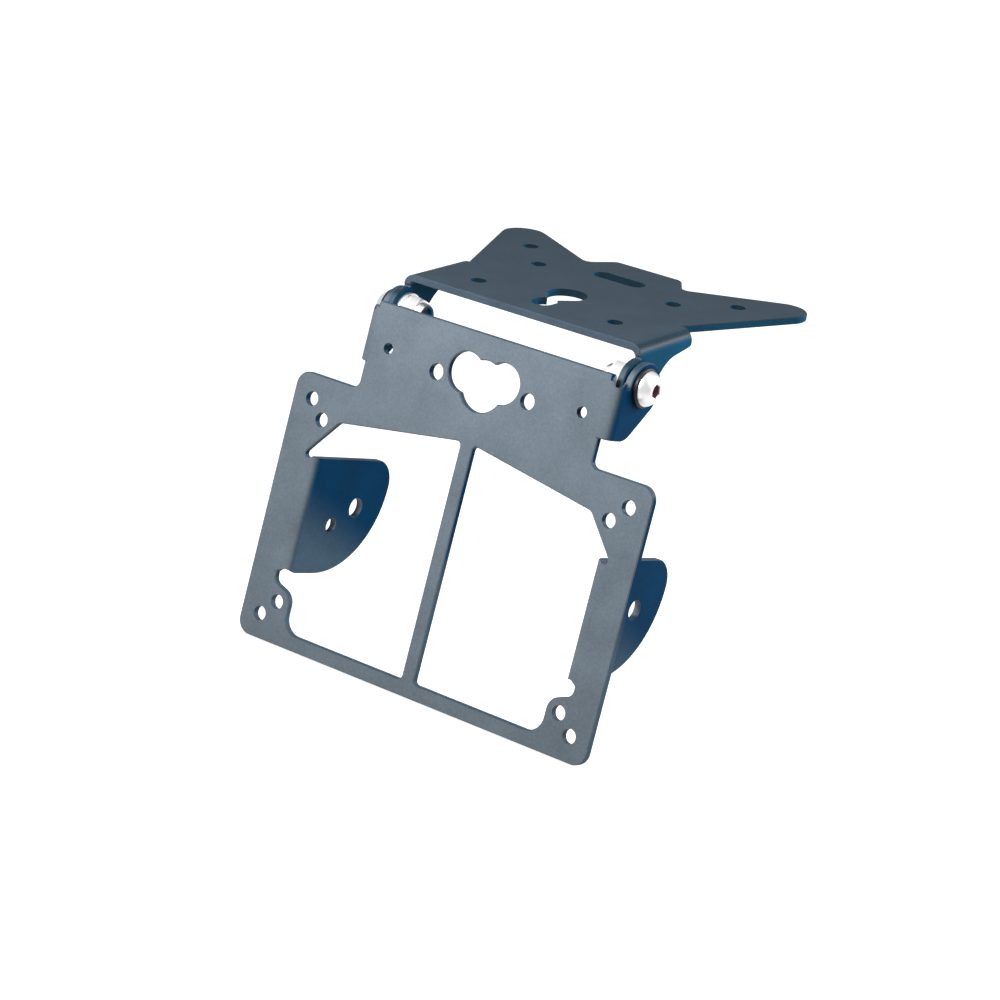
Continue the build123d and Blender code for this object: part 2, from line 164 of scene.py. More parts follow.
def add_mix(
    tree: Tree, x: float, y: float, factor: Socket, first: Socket | Colour, second: Socket | Colour
) -> Socket:
    """Adds a colour mix.

    Args:
        tree: The tree to add it to.
        x: Place across.
        y: Place up.
        factor: A socket that gives 0 for the first colour and 1 for the second.
        first: A socket or a colour.
        second: A socket or a colour.

    Returns:
        The mixed colour's socket.
    """
    node = add_node(tree, "ShaderNodeMix", x, y, data_type="RGBA")
    tree.links.new(factor, node.inputs[FACTOR])
    for index, value in ((FIRST, first), (SECOND, second)):
        if isinstance(value, Socket):
            tree.links.new(value, node.inputs[index])
        else:
            node.inputs[index].default_value = rgba(value)
    return node.outputs[RESULT]


@dataclass
class GrainAndPaintedLightGroup:
    """Shader group for a surface's fine grain and broad mottle, with painted light and shade by facing,
    and its sheen by facing.

    Each range is the size of the normal's part along an axis where a mask starts and is full.
    """

    name: str = "grain_and_painted_light"
    tree: Tree | None = None
    # All tones but the plain one are painted light: painted reflections on front and top faces, painted
    # shade on side faces, a painted floor reflection low on the sides
    tones: tuple[str, ...] = ("Tone", "Front Painted Reflection", "Side Painted Shade", "Low Painted Reflection", "Top Painted Reflection")
    amounts: tuple[str, ...] = (
        "Front Reflection Edge", "Sheen", "Grain Scale", "Mottle", "Roughness", "Roughness Spread",
    )
    grain_detail: float = 3.0
    grain_roughness: float = 0.55
    mottle_scale: float = 55.0
    mottle_detail: float = 2.0
    front_range: tuple[float, float] = (0.45, 0.8)
    side_range: tuple[float, float] = (0.82, 0.99)
    top_range: tuple[float, float] = (0.85, 0.98)
    # Where the side faces' painted shade turns to the painted floor reflection, along this axis
    low_reflection_axis: Point = (0.0, 0.58, 0.81)
    low_reflection_from: float = -134.0 * MM
    low_reflection_to: float = -108.0 * MM

    def build(self) -> Tree:
        """Makes the group on first use.

        Returns:
            The group's node tree, with Color, Roughness, Sheen and Height as outputs.
        """
        if self.tree is not None:
            return self.tree
        tree = bpy.data.node_groups.new(self.name, "ShaderNodeTree")
        self.tree = tree
        sockets = tree.interface
        for label in self.tones:
            sockets.new_socket(name=label, in_out="INPUT", socket_type="NodeSocketColor")
        for label in self.amounts:
            sockets.new_socket(name=label, in_out="INPUT", socket_type="NodeSocketFloat")
        sockets.new_socket(name="Color", in_out="OUTPUT", socket_type="NodeSocketColor")
        for label in ("Roughness", "Sheen", "Height"):
            sockets.new_socket(name=label, in_out="OUTPUT", socket_type="NodeSocketFloat")
        given = add_node(tree, "NodeGroupInput", -1200, 0).outputs
        result = add_node(tree, "NodeGroupOutput", 600, 0).inputs
        place = add_node(tree, "ShaderNodeTexCoord", -1200, 300).outputs
        tone, dull = self.painted_light_by_facing(tree, place, given)
        glossy = add_math(tree, "SUBTRACT", -150, -400, 1.0, dull)
        sheen = add_math(tree, "MULTIPLY", 50, -400, glossy, given["Sheen"])
        grain, swing = self.noises(tree, place["Object"], given["Grain Scale"])
        amount = add_math(tree, "MULTIPLY", -200, 150, swing, given["Mottle"])
        gain = add_math(tree, "ADD", -50, 150, amount, 1.0)
        scaled = add_node(tree, "ShaderNodeVectorMath", 150, 50, operation="SCALE")
        tree.links.new(tone, scaled.inputs[0])
        tree.links.new(gain, scaled.inputs["Scale"])
        spread = add_math(tree, "MULTIPLY", 0, -200, swing, given["Roughness Spread"])
        roughness = add_math(tree, "ADD", 200, -200, spread, given["Roughness"])
        outputs = {"Color": scaled.outputs[0], "Roughness": roughness, "Sheen": sheen, "Height": grain}
        for label, socket in outputs.items():
            tree.links.new(socket, result[label])
        return tree

    def noises(self, tree: Tree, spot: Socket, scale: Socket) -> tuple[Socket, Socket]:
        """Adds the fine grain and the broad mottle.

        Args:
            tree: The group's tree.
            spot: Place on the object.
            scale: Scale of the fine grain.

        Returns:
            The fine grain's socket, and one of both noises together that swings about 0.
        """
        grain = add_node(tree, "ShaderNodeTexNoise", -900, 300)
        grain.inputs["Detail"].default_value = self.grain_detail
        grain.inputs["Roughness"].default_value = self.grain_roughness
        tree.links.new(scale, grain.inputs["Scale"])
        mottle = add_node(tree, "ShaderNodeTexNoise", -900, 0)
        mottle.inputs["Scale"].default_value = self.mottle_scale
        mottle.inputs["Detail"].default_value = self.mottle_detail
        for noise in (grain, mottle):
            tree.links.new(spot, noise.inputs["Vector"])
        both = add_math(tree, "ADD", -500, 150, grain.outputs["Fac"], mottle.outputs["Fac"])
        return grain.outputs["Fac"], add_math(tree, "SUBTRACT", -350, 150, both, 1.0)

    def painted_light_by_facing(
        self, tree: Tree, place: bpy.types.NodeOutputs, given: bpy.types.NodeOutputs
    ) -> tuple[Socket, Socket]:
        """Chooses the colour with painted light and shade by which way a face looks.

        Args:
            tree: The group's tree.
            place: Outputs of the texture coordinates' node.
            given: The group's inputs.

        Returns:
            The socket of the colour with painted light and shade, and a mask of the side and top faces,
            which have no sheen.
        """
        facing = add_node(tree, "ShaderNodeSeparateXYZ", -900, -300)
        tree.links.new(place["Normal"], facing.inputs[0])
        spot = add_node(tree, "ShaderNodeSeparateXYZ", -900, -550)
        tree.links.new(place["Object"], spot.inputs[0])
        side_mask = self.facing_mask(tree, facing.outputs["X"], -300, self.side_range)
        front_mask = self.facing_mask(tree, facing.outputs["Y"], -450, self.front_range)
        top_mask = self.facing_mask(tree, facing.outputs["Z"], -1000, self.top_range)
        # Painted reflection on front faces ahead of the front edge; faces behind it, such as hole walls,
        # keep the plain tone as painted shade
        ahead = add_math(tree, "LESS_THAN", -700, -600, spot.outputs["Y"], given["Front Reflection Edge"])
        front_reflection_mask = add_math(tree, "MULTIPLY", -400, -550, front_mask, ahead)
        front_painted = add_mix(tree, -350, -50, front_reflection_mask, given["Tone"], given["Front Painted Reflection"])
        # Painted reflection on the top faces, and painted shade on the side faces
        top_painted = add_mix(tree, -250, -150, top_mask, front_painted, given["Top Painted Reflection"])
        side_painted = self.painted_side_shade(tree, place["Object"], given)
        tone = add_mix(tree, -150, 0, side_mask, top_painted, side_painted)
        return tone, add_math(tree, "MAXIMUM", -300, -400, side_mask, top_mask)

    def painted_side_shade(self, tree: Tree, spot: Socket, given: bpy.types.NodeOutputs) -> Socket:
        """Painted shade of the side faces, which fades to a painted reflection of the pale floor low down
        and near the front.

        Args:
            tree: The group's tree.
            spot: Place on the object.
            given: The group's inputs.

        Returns:
            The socket of the side faces' painted shade and reflection.
        """
        along = add_node(tree, "ShaderNodeVectorMath", -900, -800, operation="DOT_PRODUCT")
        tree.links.new(spot, along.inputs[0])
        along.inputs[1].default_value = self.low_reflection_axis
        # Greyer painted reflection of the floor low down on the side faces
        fade = self.smooth_step(tree, along.outputs["Value"], -800, (self.low_reflection_from, self.low_reflection_to))
        return add_mix(tree, -500, -750, fade, given["Low Painted Reflection"], given["Side Painted Shade"])

    def facing_mask(self, tree: Tree, part: Socket, y: float, limits: tuple[float, float]) -> Socket:
        """Mask of the faces that look along an axis, either way.

        Args:
            tree: The group's tree.
            part: The normal's part along the axis.
            y: Place of the nodes, up.
            limits: Size of the part where the mask starts, and where it is full.

        Returns:
            The mask's socket.
        """
        return self.smooth_step(tree, add_math(tree, "ABSOLUTE", -700, y, part), y, limits)

    def smooth_step(self, tree: Tree, value: Socket, y: float, limits: tuple[float, float]) -> Socket:
        """Turns a value smoothly from 0 at the lower limit to 1 at the upper one.

        Args:
            tree: The group's tree.
            value: The value.
            y: Place of the node, up.
            limits: The two limits.

        Returns:
            The node's output socket.
        """
        step = add_node(tree, "ShaderNodeMapRange", -550, y, interpolation_type="SMOOTHSTEP")
        step.inputs["From Min"].default_value, step.inputs["From Max"].default_value = limits
        tree.links.new(value, step.inputs["Value"])
        return step.outputs["Result"]


GRAIN_AND_PAINTED_LIGHT = GrainAndPaintedLightGroup()


@dataclass(frozen=True)
class Finish:
    """One surface finish of the object, with its grain and painted light from the shared group.

    The front's painted reflection is kept to the places ahead of the front edge. The side faces carry a
    painted shade, which turns low down to a painted reflection of the floor. A painted tone that isn't
    given is the plain tone, or the side faces' painted shade in the low one's case.
    """

    name: str
    tone: Colour
    roughness: float
    # Painted light: a painted reflection on front faces, painted shade on side faces, a painted floor
    # reflection low on them, and a painted reflection on top faces
    front_painted_reflection: Colour | None = None
    side_painted_shade: Colour | None = None
    low_painted_reflection: Colour | None = None
    top_painted_reflection: Colour | None = None
    front_reflection_edge: float = EVERYWHERE
    sheen: float = 0.0
    sheen_roughness: float = 0.35
    metallic: float = 0.0
    specular: float = 0.5
    grain_scale: float = 1500.0
    mottle: float = 0.1
    roughness_spread: float = 0.05
    bump: float = 0.1
    bump_depth: float = 0.05 * MM

    def material(self) -> bpy.types.Material:
        """Makes the finish's material.

        Returns:
            The material, with a Principled BSDF fed by the group of grain and painted light.
        """
        found = bpy.data.materials.get(self.name)
        if found is not None:
            return found
        made = bpy.data.materials.new(self.name)
        made.use_nodes = True
        made.diffuse_color = rgba(self.tone)
        tree = made.node_tree
        tree.nodes.clear()
        surface = add_node(tree, "ShaderNodeBsdfPrincipled", 200, 0)
        out = add_node(tree, "ShaderNodeOutputMaterial", 500, 0)
        tree.links.new(surface.outputs[0], out.inputs["Surface"])
        surface.inputs["Metallic"].default_value = self.metallic
        surface.inputs["Specular IOR Level"].default_value = self.specular
        surface.inputs["Coat Roughness"].default_value = self.sheen_roughness
        grain = add_node(tree, "ShaderNodeGroup", -300, 0, node_tree=GRAIN_AND_PAINTED_LIGHT.build())
        side_painted_shade = self.side_painted_shade or self.tone
        given = {
            "Tone": rgba(self.tone),
            "Front Painted Reflection": rgba(self.front_painted_reflection or self.tone),
            "Side Painted Shade": rgba(side_painted_shade),
            "Low Painted Reflection": rgba(self.low_painted_reflection or side_painted_shade),
            "Top Painted Reflection": rgba(self.top_painted_reflection or self.tone),
            "Front Reflection Edge": self.front_reflection_edge,
            "Sheen": self.sheen,
            "Grain Scale": self.grain_scale,
            "Mottle": self.mottle,
            "Roughness": self.roughness,
            "Roughness Spread": self.roughness_spread,
        }
        for label, value in given.items():
            grain.inputs[label].default_value = value
        tree.links.new(grain.outputs["Color"], surface.inputs["Base Color"])
        tree.links.new(grain.outputs["Roughness"], surface.inputs["Roughness"])
        tree.links.new(grain.outputs["Sheen"], surface.inputs["Coat Weight"])
        bump = add_node(tree, "ShaderNodeBump", -50, -250)
        bump.inputs["Strength"].default_value = self.bump
        bump.inputs["Distance"].default_value = self.bump_depth
        tree.links.new(grain.outputs["Height"], bump.inputs["Height"])
        tree.links.new(bump.outputs[0], surface.inputs["Normal"])
        return made


# Black powder coat: its front tone is a painted reflection, its side tone painted shade, and its low tone
# a painted reflection of the pale floor
PLATE_COAT = Finish(
    name="plate_powder_coat",
    tone=(0.036, 0.062, 0.086),
    front_painted_reflection=(0.123, 0.150, 0.173),
    side_painted_shade=(0.0, 0.031, 0.082),
    low_painted_reflection=(0.055, 0.095, 0.135),
    roughness=0.5,
    sheen=0.15,
    specular=0.02,
    grain_scale=950.0,
    mottle=0.5,
    bump=0.15,
)
# The same black powder coat as the plate's: its plain tone is darkened as painted shade on hole walls and
# in the fold, its front tone is a painted reflection on the front rim, and its side tone is painted shade
MOUNT_COAT = Finish(
    name="mount_powder_coat",
    tone=(0.008, 0.023, 0.036),
    front_painted_reflection=(0.060, 0.085, 0.112),
    side_painted_shade=(0.003, 0.056, 0.112),
    # Painted reflection on top faces, in place of the sheen that is masked off there
    top_painted_reflection=(0.029, 0.045, 0.060),
    # Behind this edge the front's painted reflection stops, and hole walls keep the plain tone as painted
    # shade
    front_reflection_edge=-36.5 * MM,
    roughness=0.5,
    sheen=0.15,
    specular=0.02,
    grain_scale=950.0,
    mottle=0.5,
    bump=0.15,
)
STAINLESS = Finish(
    name="bright_stainless",
    tone=(0.65, 0.64, 0.645),
    roughness=0.34,
    metallic=1.0,
    grain_scale=2500.0,
    mottle=0.05,
    bump=0.03,
)
# Painted shade in the hexagon socket of the stainless screw head
SOCKET_PAINTED_SHADE = Finish(
    name="socket_painted_shade",
    tone=(0.20, 0.105, 0.115),
    roughness=0.55,
    specular=0.1,
    grain_scale=2000.0,
)
# Painted shade, dark blue, on the end of the screw's thread
THREAD_END_PAINTED_SHADE = Finish(
    name="thread_end_painted_shade",
    tone=(0.004, 0.018, 0.040),
    roughness=0.5,
    specular=0.1,
)
BRIGHT_STEEL = Finish(
    name="nut_bright_steel",
    tone=(0.92, 0.92, 0.92),
    roughness=0.42,
    metallic=1.0,
    grain_scale=2500.0,
    mottle=0.05,
    bump=0.03,
)
WASHER_BLACK = Finish(
    name="washer_black_oxide",
    tone=(0.009, 0.008, 0.011),
    roughness=0.4,
    specular=0.25,
    grain_scale=2000.0,
)
NYLON = Finish(
    name="nut_insert_nylon",
    tone=(0.0, 0.11, 0.24),
    roughness=0.35,
    specular=0.1,
)


def dress(piece: bpy.types.Object, finish: Finish) -> None:
    """Gives every material slot of a CAD piece the finish."""
    made = finish.material()
    if not piece.material_slots:
        piece.data.materials.append(made)
    for slot in piece.material_slots:
        slot.material = made
    LOG.info("%s: %s", piece.name, finish.name)


# Turned pieces


@dataclass(frozen=True)
class Ring:
    """One ring of a turned piece: its radius, or half its flats, and its height along the piece."""

    radius: float
    height: float
    shape: Shape = Shape.ROUND
    crown: float = 0.0


@dataclass
class TurnedPiece:
    """Shell spun from a profile of rings, with hexagonal rings drawn out to their corners."""

    rings: list[Ring]
    segments: int = 72
    closed: bool = True
    corner_turn: float = math.radians(60)
    crown_slope: float = math.radians(30)

    def mesh(self, shell: bmesh.types.BMesh) -> None:
        """Adds the whole shell. A profile that isn't closed is led to the axis at both ends.

        Args:
            shell: The mesh to add it to.
        """
        hexagonal = shell.verts.layers.int.new("hexagonal")
        crown = shell.verts.layers.float.new("crown")
        rings = list(self.rings)
        if not self.closed:
            rings = [Ring(0.0, rings[0].height), *rings, Ring(0.0, rings[-1].height)]
        profile = [shell.verts.new((ring.radius, 0.0, ring.height)) for ring in rings]
        for vertex, ring in zip(profile, rings):
            vertex[hexagonal] = int(ring.shape is Shape.HEXAGON)
            vertex[crown] = ring.crown
        edges = [shell.edges.new(pair) for pair in zip(profile, profile[1:])]
        if self.closed:
            edges.append(shell.edges.new((profile[-1], profile[0])))
        bmesh.ops.spin(
            shell, geom=profile + edges, cent=(0.0, 0.0, 0.0), axis=(0.0, 0.0, 1.0),
            angle=math.tau, steps=self.segments, use_merge=True,
        )
        for vertex in shell.verts:
            if vertex[hexagonal]:
                self.draw_out(vertex, vertex[crown])
        shell.verts.layers.int.remove(hexagonal)
        shell.verts.layers.float.remove(shell.verts.layers.float["crown"])

    def draw_out(self, vertex: bmesh.types.BMVert, crown: float) -> None:
        """Moves a vertex from its circle out to the hexagon around it.

        Args:
            vertex: The vertex to move.
            crown: Radius beyond which the hexagon's corners drop away at the crown's slope,
                negative where they rise instead, or 0 for none.
        """
        angle = math.atan2(vertex.co.y, vertex.co.x) % self.corner_turn - self.corner_turn / 2
        vertex.co.x /= math.cos(angle)
        vertex.co.y /= math.cos(angle)
        if crown:
            reach = max(0.0, math.hypot(vertex.co.x, vertex.co.y) - abs(crown))
            vertex.co.z -= math.copysign(reach * math.tan(self.crown_slope), crown)


def finish_mesh(
    shell: bmesh.types.BMesh,
    name: str,
    place: Matrix,
    sharp_degrees: float = 28.0,
    weld: float = 0.001 * MM,
) -> bpy.types.Object:
    """Turns a bmesh into a piece at its place.

    Args:
        shell: The mesh, in the piece's own position. It is freed.
        name: Name of the piece.
        place: Where the piece goes in the row frame.
        sharp_degrees: Edges that turn by more than this are drawn sharp.
        weld: Distance within which points become one.

    Returns:
        The new object, at the origin, with its place in its mesh.
    """
    bmesh.ops.transform(shell, matrix=place, verts=shell.verts)
    bmesh.ops.remove_doubles(shell, verts=shell.verts, dist=weld)
    bmesh.ops.recalc_face_normals(shell, faces=shell.faces)
    for face in shell.faces:
        face.smooth = True
    for edge in shell.edges:
        edge.smooth = edge.is_manifold and edge.calc_face_angle(0.0) < math.radians(sharp_degrees)
    mesh = bpy.data.meshes.new(name)
    shell.to_mesh(mesh)
    shell.free()
    piece = bpy.data.objects.new(name, mesh)
    bpy.context.scene.collection.objects.link(piece)
    return piece


@dataclass(frozen=True)
class ButtonHead:
    """Domed screw head with a hexagon socket, which stands on its seat at height 0."""

    radius: float = 7.0 * MM
    height: float = 4.4 * MM
    flat_r: float = 4.0 * MM
    rim: float = 0.7 * MM
    bulge: float = 0.42
    dome_steps: int = 9
    seat_bevel: float = 0.25 * MM
    socket_half: float = 2.5 * MM
    socket_depth: float = 2.6 * MM
    socket_lip: float = 0.9 * MM
    mouth_depth: float = 0.3 * MM
    mouth_gain: float = 1.18
    flat_edge: float = 0.15 * MM

    def rings(self) -> list[Ring]:
        """Works out the rings of the head and its socket.

        Returns:
            The rings, from the socket's floor over the dome and down to the seat.
        """
        rings = [
            Ring(self.socket_half, self.height - depth, Shape.HEXAGON)
            for depth in (self.socket_depth, self.socket_lip, self.mouth_depth)
        ]
        rings.append(Ring(self.socket_half * self.mouth_gain, self.height))
        rings.append(Ring(self.flat_r - self.flat_edge, self.height))
        rings += [self.dome_ring(step / self.dome_steps) for step in range(self.dome_steps + 1)]
        return [*rings, Ring(self.radius, self.seat_bevel), Ring(self.radius - self.seat_bevel, 0.0)]

    def dome_ring(self, along: float) -> Ring:
        """One ring of the dome, which lies between a cone and a quarter of an ellipse.

        Args:
            along: Share of the way from the flat top to the rim.

        Returns:
            The ring.
        """
        turn = math.radians(90 * along)
        reach = along + (math.sin(turn) - along) * self.bulge
        drop = along + (1 - math.cos(turn) - along) * self.bulge
        return Ring(
            self.flat_r + (self.radius - self.flat_r) * reach,
            self.height - (self.height - self.rim) * drop,
        )


@dataclass(frozen=True)
class ThreadedShank:
    """Screw shank below its seat at height 0, plain at first and threaded down to its end.

    The shares are shares of one pitch.
    """

    radius: float = 4.0 * MM
    fillet: float = 0.2 * MM
    least_plain: float = 9.0 * MM
    pitch: float = 1.25 * MM
    depth_share: float = 0.61
    root_shares: tuple[float, float] = (0.44, 0.56)
    crest_shares: tuple[float, float] = (0.94, 1.0)
    end_share: float = 0.25
    end_rise: float = 0.25 * MM
    # Share of a pitch at the shank's end that gets the painted shade
    shade_share: float = 0.5

    def rings(self, length: float) -> list[Ring]:
        """Works out the rings from the seat to the shank's end.

        Args:
            length: Length of the shank.

        Returns:
            The rings, from the top down.
        """
        turns = max(1, int((length - self.least_plain) / self.pitch))
        plain = length - turns * self.pitch
        root = self.radius - self.depth_share * self.pitch
        rings = [
            Ring(self.radius + self.fillet, 0.0),
            Ring(self.radius, -self.fillet),
            Ring(self.radius, -plain),
        ]
        for turn in range(turns):
            top = plain + turn * self.pitch
            rings += [Ring(root, -(top + share * self.pitch)) for share in self.root_shares]
            if turn < turns - 1:
                rings += [Ring(self.radius, -(top + share * self.pitch)) for share in self.crest_shares]
        rings.append(Ring(root + self.end_rise, -(length - self.end_share * self.pitch)))
        rings.append(Ring(root, -length))
        return rings


@dataclass(frozen=True)
class FlatWasher:
    """Flat washer with rounded rims."""

    radius: float
    hole_r: float = 4.2 * MM
    edge: float = 0.25 * MM
    edge_share: float = 0.3

    def rings(self, thick: float) -> list[Ring]:
        """Works out the rings around the washer's section.

        Args:
            thick: Thickness of the washer.

        Returns:
            The rings, from the hole's lower edge round to its upper one.
        """
        corner = self.edge_share * self.edge
        return [
            Ring(self.hole_r, 0.0),
            Ring(self.radius - self.edge, 0.0),
            Ring(self.radius - corner, corner),
            Ring(self.radius, self.edge),
            Ring(self.radius, thick - self.edge),
            Ring(self.radius - corner, thick - corner),
            Ring(self.radius - self.edge, thick),
            Ring(self.hole_r, thick),
        ]


@dataclass(frozen=True)
class LockNut:
    """Lock nut with crowned corners and a rolled collar, which stands on its seat at height 0.

    The collar's root is given as steps out from the collar and up from the hexagon's top, and its
    rim as steps in from the collar and down from the nut's top.
    """

    half_flats: float = 6.5 * MM
    hex_height: float = 5.8 * MM
    crown_lift: float = 0.02 * MM
    face_edge: float = 0.15 * MM
    bore_r: float = 4.04 * MM
    bore_bevel: float = 0.4 * MM
    collar_r: float = 5.5 * MM
    collar_root: tuple[tuple[float, float], ...] = (
        (0.35 * MM, 0.02 * MM), (0.08 * MM, 0.2 * MM), (0.0, 0.5 * MM),
    )
    collar_rim: tuple[tuple[float, float], ...] = (
        (0.0, 0.9 * MM), (0.12 * MM, 0.45 * MM), (0.35 * MM, 0.12 * MM), (0.5 * MM, 0.0),
    )
    insert_r: float = 5.03 * MM
    insert_from: float = 6.6 * MM
    insert_sink: float = 0.03 * MM

    def rings(self, height: float) -> list[Ring]:
        """Works out the rings around the nut's section.

        Args:
            height: Height of the nut with its collar.

        Returns:
            The rings, from the bore's lower edge out, up over the collar and back into the bore.
        """
        flats, top = self.half_flats, self.hex_height
        return [
            Ring(self.bore_r + self.bore_bevel, 0.0),
            Ring(flats - self.face_edge, 0.0),
            Ring(flats, self.crown_lift, Shape.HEXAGON, -flats),
            Ring(flats, top - self.crown_lift, Shape.HEXAGON, flats),
            Ring(flats - self.face_edge, top),
            *(Ring(self.collar_r + out, top + up) for out, up in self.collar_root),
            *(Ring(self.collar_r - back, height - down) for back, down in self.collar_rim),
            Ring(self.insert_r, height - self.insert_sink),
            Ring(self.insert_r, self.insert_from),
            Ring(self.bore_r, self.insert_from),
            Ring(self.bore_r, self.bore_bevel),
        ]


@dataclass
class PivotHardware:
    """Button-head screw, washers and lock nut at one end of the pivot, placed by the frame."""

    side: Side
    head: ButtonHead = ButtonHead()
    shank: ThreadedShank = ThreadedShank()
    outer_washer: FlatWasher = FlatWasher(radius=7.8 * MM)
    inner_washer: FlatWasher = FlatWasher(radius=8.0 * MM)
    nut: LockNut = LockNut()
    body: str = "mount"

    def node(self, part: str) -> str:
        """Name of this side's CAD node for a part of the hardware."""
        return f"{self.side.label}_{part}"

    def span(self, part: str) -> tuple[float, float]:
        """Distances from the middle plane at which a CAD node starts and ends."""
        low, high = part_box(self.node(part))
        ends = sorted((abs(low.x), abs(high.x)))
        return ends[0], ends[1]

    def place(self, start: float, outwards: bool) -> Matrix:
        """Place of a piece drawn along Z.

        Args:
            start: Distance of the piece's Z = 0 from the middle plane.
            outwards: Whether the piece's Z points away from the middle plane.

        Returns:
            The matrix that puts the piece on the pivot.
        """
        low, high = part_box(self.node("pivot_screw"))
        middle = (low + high) / 2
        sign = self.side.value
        turn = 90 if (sign > 0) == outwards else -90
        spot = Matrix.Translation((sign * start, middle.y, middle.z))
        return spot @ Matrix.Rotation(math.radians(turn), 4, "Y")

    def finished(
        self,
        shell: bmesh.types.BMesh,
        part: str,
        start: float,
        outwards: bool,
        finishes: tuple[Finish, ...],
    ) -> None:
        """Places and dresses one piece, attaches it to its body and hides its CAD node.

        Args:
            shell: The piece's mesh along Z.
            part: The CAD node it stands for, without its side.
            start: Distance of its Z = 0 from the middle plane.
            outwards: Whether its Z points away from the middle plane.
            finishes: Its finishes, in the order of its faces' material numbers.
        """
        piece = finish_mesh(shell, self.node(part) + "_detail", self.place(start, outwards))
        for finish in finishes:
            piece.data.materials.append(finish.material())
        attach(piece, self.body)
        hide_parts(self.node(part))
        LOG.info("%s: %d faces", piece.name, len(piece.data.polygons))

    def build_screw(self) -> None:
        """Button-head screw with a hexagon socket and a threaded end."""
        shell = bmesh.new()
        start, end = self.span("pivot_screw")
        seat = end - self.head.height
        length = seat - start
        TurnedPiece([*self.head.rings(), *self.shank.rings(length)], closed=False).mesh(shell)
        mouth_r = self.head.socket_half * self.head.mouth_gain
        lip_height = self.head.height - self.head.socket_lip
        # Faces inside the socket get the painted shade
        for face in shell.faces:
            middle = face.calc_center_median()
            if math.hypot(middle.x, middle.y) < mouth_r and 0 < middle.z < lip_height:
                face.material_index = 1
            # Faces at the thread's end get the painted shade
            if middle.z < -length + self.shank.shade_share * self.shank.pitch:
                face.material_index = 2
        finishes = (STAINLESS, SOCKET_PAINTED_SHADE, THREAD_END_PAINTED_SHADE)
        self.finished(shell, "pivot_screw", seat, True, finishes)

    def build_washer(self, part: str, washer: FlatWasher, finish: Finish) -> None:
        """Builds one washer.

        Args:
            part: "outer_washer" or "inner_washer".
            washer: Its sizes.
            finish: Its finish.
        """
        shell = bmesh.new()
        start, end = self.span(part)
        TurnedPiece(washer.rings(end - start)).mesh(shell)
        self.finished(shell, part, start, True, (finish,))

    def build_nut(self) -> None:
        """Lock nut, with its collar towards the middle."""
        shell = bmesh.new()
        start, end = self.span("lock_nut")
        TurnedPiece(self.nut.rings(end - start)).mesh(shell)
        self.finished(shell, "lock_nut", end, False, (BRIGHT_STEEL,))

    def build(self, nodes: Nodes) -> None:
        """Builds all of this side's hardware.

        Args:
            nodes: The CAD nodes by name.
        """
        self.build_screw()
        self.build_washer("outer_washer", self.outer_washer, WASHER_BLACK)
        self.build_washer("inner_washer", self.inner_washer, BRIGHT_STEEL)
        self.build_nut()
        dress(nodes[self.node("nut_insert")], NYLON)


@dataclass
class Brackets:
    """The two folded sheet brackets, which keep their CAD shapes."""

    finishes: dict[str, Finish] = field(
        default_factory=lambda: {"mounting_bracket": MOUNT_COAT, "plate_bracket": PLATE_COAT}
    )

    def build(self, nodes: Nodes) -> None:
        """Dresses both brackets.

        Args:
            nodes: The CAD nodes by name.
        """
        for name, finish in self.finishes.items():
            dress(nodes[name], finish)


# Studio


@dataclass(frozen=True)
class SoftLight:
    """Rectangular soft light that points at a place on the object."""

    name: str
    place: Point
    target: Point
    size: tuple[float, float]
    power: float

    def build(self) -> None:
        """Adds the light to the scene."""
        lamp = bpy.data.lights.new(self.name, "AREA")
        lamp.shape = "RECTANGLE"
        lamp.size, lamp.size_y = self.size
        lamp.energy = self.power
        holder = bpy.data.objects.new(self.name, lamp)
        bpy.context.scene.collection.objects.link(holder)
        holder.location = self.place
        aim = Vector(self.target) - Vector(self.place)
        holder.rotation_euler = aim.to_track_quat("-Z", "Y").to_euler()


